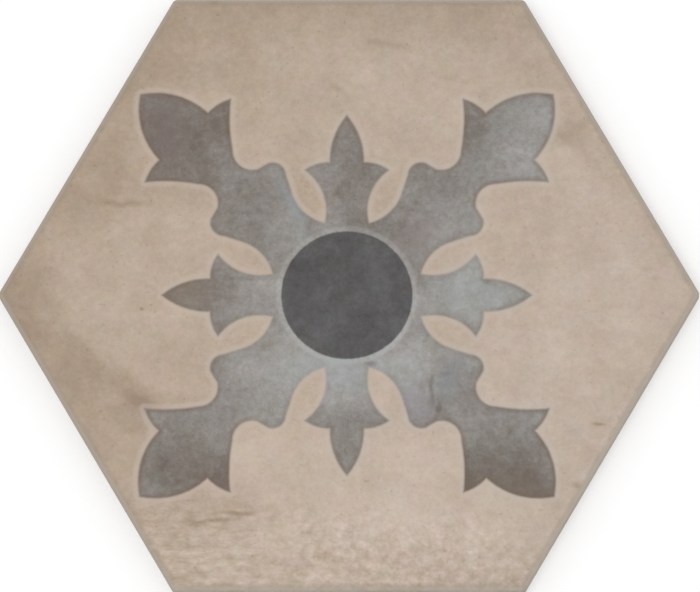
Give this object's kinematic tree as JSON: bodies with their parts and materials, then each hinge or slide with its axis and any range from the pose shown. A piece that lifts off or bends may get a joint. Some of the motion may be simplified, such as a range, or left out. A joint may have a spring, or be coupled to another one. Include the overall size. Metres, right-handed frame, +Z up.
{
  "type": "hexagon floor tile",
  "caption": "Regular hexagonal floor tile, pressed and fired in one piece, with a rounded top edge, a drafted side and a honeycomb keyed back.",
  "frame": {"origin": "middle of the bedding plane that the ribs of the back share, on the tile's six-fold axis", "axes": "+Z up out of the wear face, X through two opposite points, Y square to two opposite edges"},
  "size_m": [0.2494, 0.2164, 0.009],
  "materials": {
    "fired_stoneware": "matte"
  },
  "bodies": {
    "root": {"floor_tile": "fired_stoneware"}
  },
  "joints": []
}
